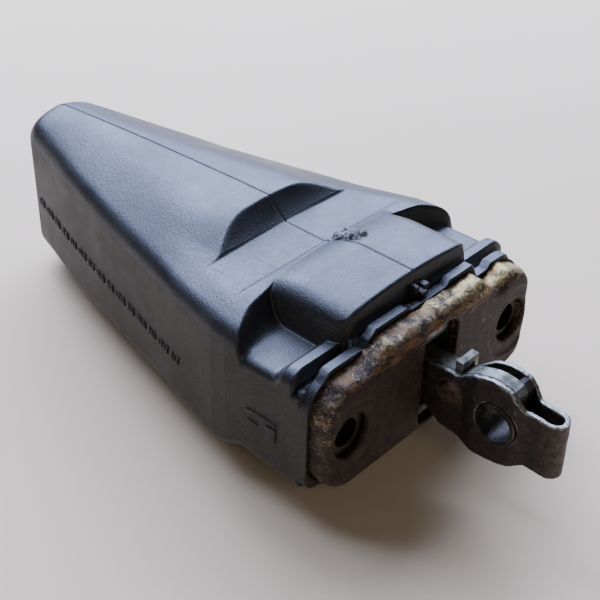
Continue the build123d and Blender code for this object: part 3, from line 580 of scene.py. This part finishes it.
def top_surface(x, across_y, crown=True):
    """Height of the cover's upper skin, or of the lower one mirrored up."""
    y = np.abs(across_y)
    # tapered body, its step down, and the waist
    back = np.maximum(STEP_FOOT_X - x, 0.0)
    face = WAIST_Z + 0.62 * back + 0.05 * back ** 2
    ridge = ridge_surface(np.minimum(x, STEP_FOOT_X), y)
    z = np.where(x < STEP_FOOT_X, soft_min(ridge, face, 0.25 + 0.02 * y), waist_surface(x, y))
    z = np.where(x < STEP_FOOT_X, np.maximum(z, np.minimum(ridge, waist_surface(x, y))), z)
    # pockets: a cove from the body's end face down to a ledge
    rear = pocket_rear(y)
    v = np.clip((x - rear) / (LEDGE_START - rear), 0.0, 1.0)
    ledge = LEDGE_Z + 0.25 * smooth_step((30.0 - y) / 8.0)
    cove = ledge + (z - ledge) * (1.0 - v) ** 3.2
    # cross rib ahead of the ledge
    rib_places = (RIB[0] - 1.6, RIB[0] - 0.4, RIB[0] + 0.9, RIB[1] - 0.3, RIB[1])
    rib = np.interp(x, rib_places, (0, 0.25, 0.9, 1.0, 0.9))
    rib = rib * np.interp(y, (32.4, 36.2), (1.0, 0.62))
    floor = cove + (RIB_Z - cove) * rib * (x > RIB[0] - 1.6)
    # raised block between the pockets, with a ramp up from the waist
    w = np.clip((x - CREASE_X) / RAMP_LONG, 0.0, 1.0)
    ramp = 1.0 - (1.0 - w) ** 1.8
    roof = ROOF_EDGE_Z + (ROOF_Z - ROOF_EDGE_Z) * (1.0 - (y / BLOCK_HALF) ** 2)
    foot = waist_surface(x, np.minimum(y, 18.0))
    block = foot + (roof - foot) * ramp
    side, front = BLOCK_HALF - y, BLOCK_FACE_X - x
    bend = np.clip(BLOCK_ROUND - side, 0.0, BLOCK_ROUND)
    block = block - 0.75 * (BLOCK_ROUND - np.sqrt(BLOCK_ROUND ** 2 - bend ** 2))
    nose = np.clip(NOSE_ROUND - front, 0.0, NOSE_ROUND)
    block = block - (NOSE_ROUND - np.sqrt(NOSE_ROUND ** 2 - nose ** 2))
    corner = np.hypot(
        np.clip(BLOCK_CORNER - side, 0, None), np.clip(BLOCK_CORNER - front, 0, None))
    outside = np.maximum(corner - BLOCK_CORNER, 0.0)
    block = block - outside * 5.0
    body = np.where(x > CREASE_X, soft_max(block, floor, 1.3), z)
    # groove, then rim strips
    centre = y < CENTRE_HALF
    groove = np.where(centre, CENTRE_GROOVE_Z, GROOVE_Z)
    strips = strip_share(across_y, STRIPS if crown else LOWER_STRIPS)
    rim = rim_surface(y, crown) - STRIP_STEP * (1.0 - strips)
    body = np.where((x > RIB[1]) & ~centre, groove, body)
    body = np.where((x > BLOCK_FACE_X) & centre, groove, body)
    if not crown:
        # the lower pockets fade out towards the side, in one soft wave
        wave = LOWER_EDGE_Z + 1.2 * smooth_step((x + 60.0) / 26.0)
        wave = wave - 3.0 * smooth_step((x + 32.0) / 7.5)
        wave = wave + 0.9 * smooth_step((x + 23.0) / 11.0)
        body = body + (wave - body) * smooth_step((y - 28.0) / 4.0) * (x > -62.0)
    body = np.where(x > RIM_BACK_X, rim, body)
    return body


def edge_round(x, y):
    """How far the top drops where it rounds over to the side wall or the tail."""
    side = column(1, x) - np.abs(y)
    back = x - TAIL_X
    corner = np.hypot(
        np.clip(TAIL_CORNER - side, 0, None), np.clip(TAIL_CORNER - back, 0, None))
    inside = np.where(corner > 0, TAIL_CORNER - corner, np.minimum(side, back))
    radius = 3.3 + 3.0 * smooth_step((side - back + 4.0) / 8.0)
    radius = radius - 0.5 * smooth_step((x + 26.0) / 6.0)
    near = np.clip(radius - inside, 0.0, radius)
    return radius - np.sqrt(np.maximum(radius ** 2 - near ** 2, 0.0))


def skin_height(x, y, crown):
    z = top_surface(x, y, crown)
    rounded = z - edge_round(x, y)
    return np.where(x > RIM_BACK_X, z, rounded)


CENTRE = (0.0, 0.14, 0.3, 0.7)
MIDDLE_SPAN = np.concatenate([
    np.linspace(0.0, 0.50, 15)[1:],
    np.linspace(0.50, 0.58, 5)[1:],
    np.linspace(0.58, 0.72, 18)[1:],
    np.linspace(0.72, 1.0, 9)[1:],
])
BORDER = (3.2, 2.45, 1.8, 1.25, 0.8, 0.45, 0.2, 0.06, 0.0)
CENTRE_OUT = 1.4
BORDER_IN = 4.0
NARROWEST = 8.0


def across(wide):
    """Distances from the middle at which each half of a section is sampled."""
    full = max(wide, NARROWEST)
    middle = CENTRE_OUT + MIDDLE_SPAN * (full - BORDER_IN - CENTRE_OUT)
    return np.concatenate([CENTRE, [CENTRE_OUT], middle, full - np.array(BORDER)]) * wide / full


SIDE_STEPS = 14


def section(x, height, wide, seam_y=0.0, inset_share=1.0):
    """One closed ring of points: top, far side, bottom and near side."""
    y = across(wide)
    ys = np.concatenate([-y[::-1], y[1:]])
    top = height(np.full_like(ys, x), ys, True)
    bottom = -height(np.full_like(ys, x), ys, False)
    inset = inset_share * np.interp(x, FAR_INSET[:, 0], FAR_INSET[:, 1])
    ys = np.where(ys > 0, ys * (1.0 - inset / wide), ys)
    offset = seam_y * np.clip(1.0 - np.abs(ys) / 12.0, 0.0, 1.0)
    ring = [(x, a + d, b) for a, b, d in zip(ys, top, offset)]
    steps = np.linspace(0, 1, SIDE_STEPS + 1)[1:-1]
    ring += [(x, ys[-1], top[-1] + (bottom[-1] - top[-1]) * t) for t in steps]
    ring += [(x, a, b) for a, b in zip(ys[::-1], bottom[::-1])]
    ring += [(x, ys[0], bottom[0] + (top[0] - bottom[0]) * t) for t in steps]
    return ring


def stations(*spans):
    """Places along X from (start, end, spacing) spans."""
    out = []
    for start, end, step in spans:
        count = max(1, int(round((end - start) / step)))
        out += list(np.linspace(start, end, count + 1)[:-1])
    return out + [spans[-1][1]]


SEAM_DEEP = 0.28
SEAM_HALF = 0.26
SEAM_SHIFT = 0.9
CREASE_DEEP = 0.14
CREASE_HALF = 0.3
CREASE_REACH = 27.0
WALL = 2.0
NEARBY = 1.4
PAN_GAP = 0.2
PAN_CORNER = 7.6
POCKET_BACK_X = -8.2
INNER_INSET_SHARE = 0.8


def seam_shift(x):
    return SEAM_SHIFT * float(smooth_step((x - CREASE_X) / 2.0))


def outer_height(x, y, crown):
    z = skin_height(x, y, crown)
    seam = SEAM_DEEP * np.clip(1.0 - np.abs(y) / SEAM_HALF, 0.0, 1.0) * (x < RIM_BACK_X)
    crease = CREASE_DEEP * np.clip(1.0 - np.abs(x - CREASE_X) / CREASE_HALF, 0.0, 1.0)
    return z - seam - crease * (np.abs(y) < CREASE_REACH)


def inner_height(x, y, crown):
    """The hollow's height: a wall's thickness below the lowest skin near it."""
    away = np.abs(y)
    shifts = [(i, j) for i in (-NEARBY, 0, NEARBY) for j in (-NEARBY, 0, NEARBY)]
    z = np.min([skin_height(x + i, np.clip(away + j, 0, None), crown) for i, j in shifts], axis=0)
    cap = np.where(away < CENTRE_HALF, 15.1, 9.6)
    z = np.where(x > -16.0, np.minimum(z, cap + WALL), z)
    return z - WALL


def pan_pocket_height(x, y, crown):
    """The opening that the pan's walls fill, with a small gap all round."""
    y = np.abs(y)
    corner = np.clip(y - (PAN_HALF + PAN_GAP - PAN_CORNER), 0.0, PAN_CORNER)
    flat = PAN_TOP + PAN_GAP if crown else PAN_FOOT + PAN_GAP
    if crown:
        rise = np.interp(y, (CROWN_HALF + PAN_GAP, CROWN_HALF + 3.4), (1.0, 0.0))
        flat = flat + rise * (CROWN_TOP - PAN_TOP)
    return flat - (PAN_CORNER - np.sqrt(np.maximum(PAN_CORNER ** 2 - corner ** 2, 0.0)))


tail = [TAIL_X + TAIL_CORNER * (1 - math.cos(t)) for t in np.linspace(0.0, math.pi / 2, 16)]
# Closest together at the step, the pockets, the rib and the rim
outer_places = tail + stations(
    (TAIL_X + TAIL_CORNER, -118.0, 1.0), (-118.0, -53.0, 1.6), (-53.0, -45.4, 0.28),
    (-45.4, -34.6, 0.9), (-34.6, -27.0, 0.2), (-27.0, -22.0, 0.35), (-22.0, -16.2, 0.8),
    (-16.2, -12.6, 0.24), (-12.6, -10.9, 0.5), (-10.9, -10.5, 0.1))[1:]
outer_places += [
    -10.48, -10.2, -9.9, -9.7, -9.52, -9.48, -9.2, -8.7, -8.12, -8.08, -7.8, -7.0, -6.2, -5.95,
    MOUTH_X,
]
inner_places = [-129.8, -128.6, -126.5] + stations(
    (-123.0, -52.0, 3.0), (-52.0, -46.0, 1.0), (-46.0, -34.0, 3.0), (-34.0, -10.0, 1.2),
    (-10.0, -8.4, 0.8))

rings = [section(x, outer_height, float(half_width(x)), seam_shift(x)) for x in outer_places]
rings.append(section(MOUTH_X, pan_pocket_height, PAN_HALF + PAN_GAP))
rings.append(section(POCKET_BACK_X, pan_pocket_height, PAN_HALF + PAN_GAP))
rings += [
    section(x, inner_height, float(half_width(x)) - WALL, inset_share=INNER_INSET_SHARE)
    for x in reversed(inner_places)
]
ring_size = len(rings[0])
points = [p for ring in rings for p in ring]
faces = ring_faces(0, len(rings), ring_size)
top_count = 2 * len(across(20.0)) - 1
side_count = SIDE_STEPS - 1


def end_cap(start):
    """Quads across a ring, from its top row to its bottom row."""
    bottom_end = start + 2 * top_count + side_count - 1
    return [
        (start + j, start + j + 1, bottom_end - j - 1, bottom_end - j)
        for j in range(top_count - 1)
    ]


def side_caps(start):
    """One face on each side of a ring, where end_cap's quads stop."""
    far_side = range(top_count - 1, top_count + side_count + 1)
    near_side = range(2 * top_count + side_count - 1, 2 * (top_count + side_count))
    return [
        tuple(start + j for j in far_side),
        tuple(start + j for j in [*near_side, 0]),
    ]


first, last = 0, (len(rings) - 1) * ring_size
faces += end_cap(first) + end_cap(last) + side_caps(first) + side_caps(last)
shell = mesh_object("cover_shell", points, faces)
shell.data.materials.append(COVER)
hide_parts("cover")
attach(shell, "housing")

# ------------------------------------------- weathered pan, strap and springs

def weathered(node, name, body, voxel, passes, shape):
    """A softened copy of a CAD node, moved by shape(points, normals), inside the CAD box."""
    source = nodes[node]
    obj = bpy.data.objects.new(name, source.data.copy())
    obj.matrix_world = source.matrix_world.copy()
    bpy.context.scene.collection.objects.link(obj)
    remesh = obj.modifiers.new("even", "REMESH")
    remesh.mode = "VOXEL"
    remesh.voxel_size = voxel * MM
    remesh.use_smooth_shade = True
    soften = obj.modifiers.new("soften", "SMOOTH")
    soften.iterations = passes
    soften.factor = 0.5
    apply_modifiers(obj)
    count = len(obj.data.vertices)
    places, normals = np.empty(count * 3), np.empty(count * 3)
    obj.data.vertices.foreach_get("co", places)
    obj.data.vertices.foreach_get("normal", normals)
    places = places.reshape(-1, 3) / MM
    moved = places + shape(places, normals.reshape(-1, 3))
    moved = np.clip(moved, np.array(cad_low) / MM, np.array(cad_high) / MM)
    obj.data.vertices.foreach_set("co", (moved * MM).ravel())
    obj.data.update()
    shade_smooth(obj.data)
    obj.data.materials.clear()
    obj.data.materials.append(source.data.materials[0])
    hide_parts(node)
    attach(obj, body)
    return obj


def field(places, size, seed):
    """Smooth noise at each place, from about -1 to 1."""
    shift = Vector((seed, 2.0 * seed, 3.0 * seed))
    return np.array([noise.noise(Vector(p) / size + shift) for p in places.tolist()])


def bell(y, middle, half, height):
    return height * np.exp(-((y - middle) / half) ** 2)


def pan_shape(places, normals):
    """Lumps, waves and pits: most on the top wall, least on the flat face."""
    y, z = places[:, 1], places[:, 2]
    top = smooth_step((z - 9.0) / 4.0)
    rise = bell(y, -19.5, 2.6, 0.75) + bell(y, 17.5, 2.4, 0.5) - bell(y, 22.0, 1.7, 1.1)
    rise = rise + bell(y, 27.0, 2.8, 0.7)
    rise = rise - bell(y, -33.5, 3.0, 0.7) + 0.25 * np.sin(0.9 * y) * np.cos(0.31 * y)
    lumps = 0.22 * field(places, 4.2, 3.7) + 0.13 * field(places, 1.7, 8.1)
    share = 0.25 + 0.75 * np.clip(top + (np.abs(y) > 31.0), 0.0, 1.0)
    move = normals * (lumps * share - 0.05)[:, None]
    move[:, 2] += rise * top
    return move


def strap_shape(places, normals):
    lumps = 0.09 * field(places, 2.0, 5.3) + 0.05 * field(places, 0.8, 1.9)
    return normals * (lumps - 0.04)[:, None]


weathered("mounting_plate", "pan_weathered", "housing", 0.42, 4, pan_shape)
weathered("link_strap", "strap_weathered", "arm", 0.28, 2, strap_shape)

# Coil springs: softened copies fixed to the housing (the real ones shorten towards their bridges
# as the shoes move out)
for side, sign in (("near", -1.0), ("far", 1.0)):
    coil = weathered(
        side + "_spring", side + "_coil", "housing", 0.28, 1,
        lambda places, normals: 0.0 * places)
    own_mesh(coil)

# ------------------------------------------------------- marks on the moulding

def block_faces(a):
    """The six faces of a block whose first corner is point a."""
    return [
        (a, a + 3, a + 2, a + 1), (a + 4, a + 5, a + 6, a + 7), (a, a + 1, a + 5, a + 4),
        (a + 1, a + 2, a + 6, a + 5), (a + 2, a + 3, a + 7, a + 6), (a + 3, a, a + 4, a + 7),
    ]


def side_blocks(name, rows, proud, sunk, bevel):
    """Small raised blocks on the near side wall, from (x, z, long, high, lean) rows."""
    points, faces = [], []
    for x, z, long, high, lean in rows:
        faces += block_faces(len(points))
        for depth in (-sunk, proud):
            for dx, dz in ((-0.5, -0.5), (0.5, -0.5), (0.5, 0.5), (-0.5, 0.5)):
                px = x + dx * long + dz * lean
                points.append((px, -float(half_width(px)) - depth, z + dz * high))
    obj = mesh_object(name, points, faces)
    edge = obj.modifiers.new("edge", "BEVEL")
    edge.width = bevel * MM
    edge.segments = 2
    apply_modifiers(obj)
    shade_smooth(obj.data)
    obj.data.materials.append(COVER)
    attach(obj, "housing")


TICK_START, TICK_END, TICK_PITCH = -122.5, -45.5, 1.15
TICK_HIGHS = (2.1, 1.5, 2.1, 0.0, 1.2, 2.1, 1.7, 2.1, 0.0)
TICK_LEANS = (0.3, -0.2, 0.0)
ticks = []
for i, x in enumerate(np.arange(TICK_START, TICK_END, TICK_PITCH)):
    high = TICK_HIGHS[i % len(TICK_HIGHS)]
    if high == 0.0:
        continue
    low_z = np.interp(x, (TICK_START, TICK_END), (-1.6, -3.4))
    ticks.append((x, low_z, 0.6, high, TICK_LEANS[i % len(TICK_LEANS)]))
    if i % 2:
        ticks.append((x + 0.45, low_z + 0.75 * (1 if i % 4 == 1 else -1), 0.55, 0.4, 0.0))
side_blocks("side_ticks", ticks, 0.42, 0.3, 0.16)
side_blocks("corner_mark", [
    (-18.4, -0.5, 8.6, 0.8, 0.0), (-20.9, -3.2, 3.0, 0.7, 0.0), (-15.6, -3.4, 2.9, 3.6, 0.0),
], 0.38, 0.3, 0.16)


def gate_scar():
    """The torn stub of plastic left where the cover was filled from."""
    steps = 34
    lo, hi = np.array((-34.6, -0.2)), np.array((-25.8, 7.4))
    points = []
    for i in range(steps + 1):
        for j in range(steps + 1):
            u, v = i / steps, j / steps
            x, y = lo + (hi - lo) * (u, v)
            reach = math.hypot(2 * u - 1, 2 * v - 1)
            ragged = noise.noise(Vector((x * 0.55, y * 0.55, 4.0)))
            inside = float(smooth_step((0.92 + 0.5 * ragged - reach) / 0.16))
            peak = 0.45 + 0.9 * noise.noise(Vector((x * 1.15, y * 1.15, 9.0)))
            peak += 0.35 * noise.noise(Vector((x * 2.6, y * 2.6, 2.0)))
            base = float(skin_height(np.array([x]), np.array([y]), True)[0])
            points.append((x, y, base - 0.35 + inside * max(0.0, 1.35 * peak + 0.35)))
    count = steps + 1
    faces = [
        (i * count + j, (i + 1) * count + j, (i + 1) * count + j + 1, i * count + j + 1)
        for i in range(steps) for j in range(steps)
    ]
    obj = mesh_object("gate_scar", points, faces)
    body = obj.modifiers.new("body", "SOLIDIFY")
    body.thickness = 0.5 * MM
    body.offset = -1.0
    apply_modifiers(obj)
    obj.data.materials.append(SCAR)
    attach(obj, "housing")


gate_scar()


def latch_stub():
    """The broken end of the moulding's middle latch, with the slot beside it."""
    points, faces = [], []
    for low, high in (
        ((-9.9, -0.4, 17.6), (-7.6, 0.9, 20.0)),
        ((-9.9, 2.3, 17.6), (-7.4, 4.2, 19.5)),
        ((-8.4, 0.5, 17.6), (-6.6, 2.7, 18.7)),
        ((-9.9, 0.6, 18.2), (-9.2, 2.5, 20.3)),
    ):
        faces += block_faces(len(points))
        (x0, y0, z0), (x1, y1, z1) = low, high
        points += [(x0, y0, z0), (x1, y0, z0), (x1, y1, z0), (x0, y1, z0)]
        points += [(x0, y0, z1), (x1, y0, z1 - 0.5), (x1, y1, z1 - 0.5), (x0, y1, z1)]
    obj = mesh_object("latch_stub", points, faces)
    edge = obj.modifiers.new("edge", "BEVEL")
    edge.width = 0.22 * MM
    edge.segments = 3
    apply_modifiers(obj)
    obj.data.materials.append(COVER)
    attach(obj, "housing")


latch_stub()

# ------------------------------------------------------------ light and camera

floor_z = cad_low.z
bpy.ops.mesh.primitive_plane_add(size=6.0, location=(0, 0, floor_z))
floor = bpy.context.object
floor.name = "floor"
pale = Shade("floor_paint")
paint = pale.mix(pale.noise(90.0), (0.80, 0.64, 0.44), (0.83, 0.67, 0.47))
floor.data.materials.append(pale.finish(paint, 0.95))
pale.bsdf.inputs["Specular IOR Level"].default_value = 0.0
floor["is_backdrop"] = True

world = bpy.data.worlds.new("studio")
bpy.context.scene.world = world
world.use_nodes = True
world.node_tree.nodes["Background"].inputs["Color"].default_value = (0.92, 0.94, 1.0, 1)
world.node_tree.nodes["Background"].inputs["Strength"].default_value = 0.06

MIDDLE = Vector((-0.045, 0.0, 0.005))


def panel(name, toward, distance, width, height, radiance, color):
    """A soft area light that faces the object; radiance is its brightness."""
    light = bpy.data.lights.new(name, "AREA")
    light.shape = "RECTANGLE"
    light.size = width
    light.size_y = height
    light.energy = radiance * math.pi * width * height
    light.color = color
    obj = bpy.data.objects.new(name, light)
    direction = Vector(toward).normalized()
    obj.location = MIDDLE + direction * distance
    obj.rotation_euler = (-direction).to_track_quat("-Z", "Y").to_euler()
    bpy.context.scene.collection.objects.link(obj)


panel("back_sky", (-0.54, 0.60, 0.60), 0.80, 0.95, 0.62, 14.5, (0.54, 0.64, 1.0))
panel("left_sky", (-0.52, -0.12, 0.84), 0.80, 0.46, 0.44, 9.5, (0.54, 0.64, 1.0))
panel("ridge_strip", (-0.58, 0.20, 0.79), 0.82, 0.12, 0.50, 16.0, (0.58, 0.68, 1.0))
panel("front_fill", (0.70, -0.45, 0.55), 1.10, 0.5, 0.5, 2.0, (1.0, 0.94, 0.86))

CAMERA_AT = Vector((117.8, -176.2, 168.8)) * MM
LOOK_AT = Vector((-28.75, -13.6, 12.85)) * MM
ROLL = math.radians(1.378)
camera = bpy.data.cameras.new("camera")
camera.lens = 74.1
camera.sensor_width = 36.0
camera.clip_start = 0.01
eye = bpy.data.objects.new("camera", camera)
aim = (LOOK_AT - CAMERA_AT).to_track_quat("-Z", "Y").to_matrix()
eye.matrix_world = Matrix.Translation(CAMERA_AT) @ (aim @ Matrix.Rotation(ROLL, 3, "Z")).to_4x4()
bpy.context.scene.collection.objects.link(eye)
bpy.context.scene.camera = eye

low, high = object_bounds()
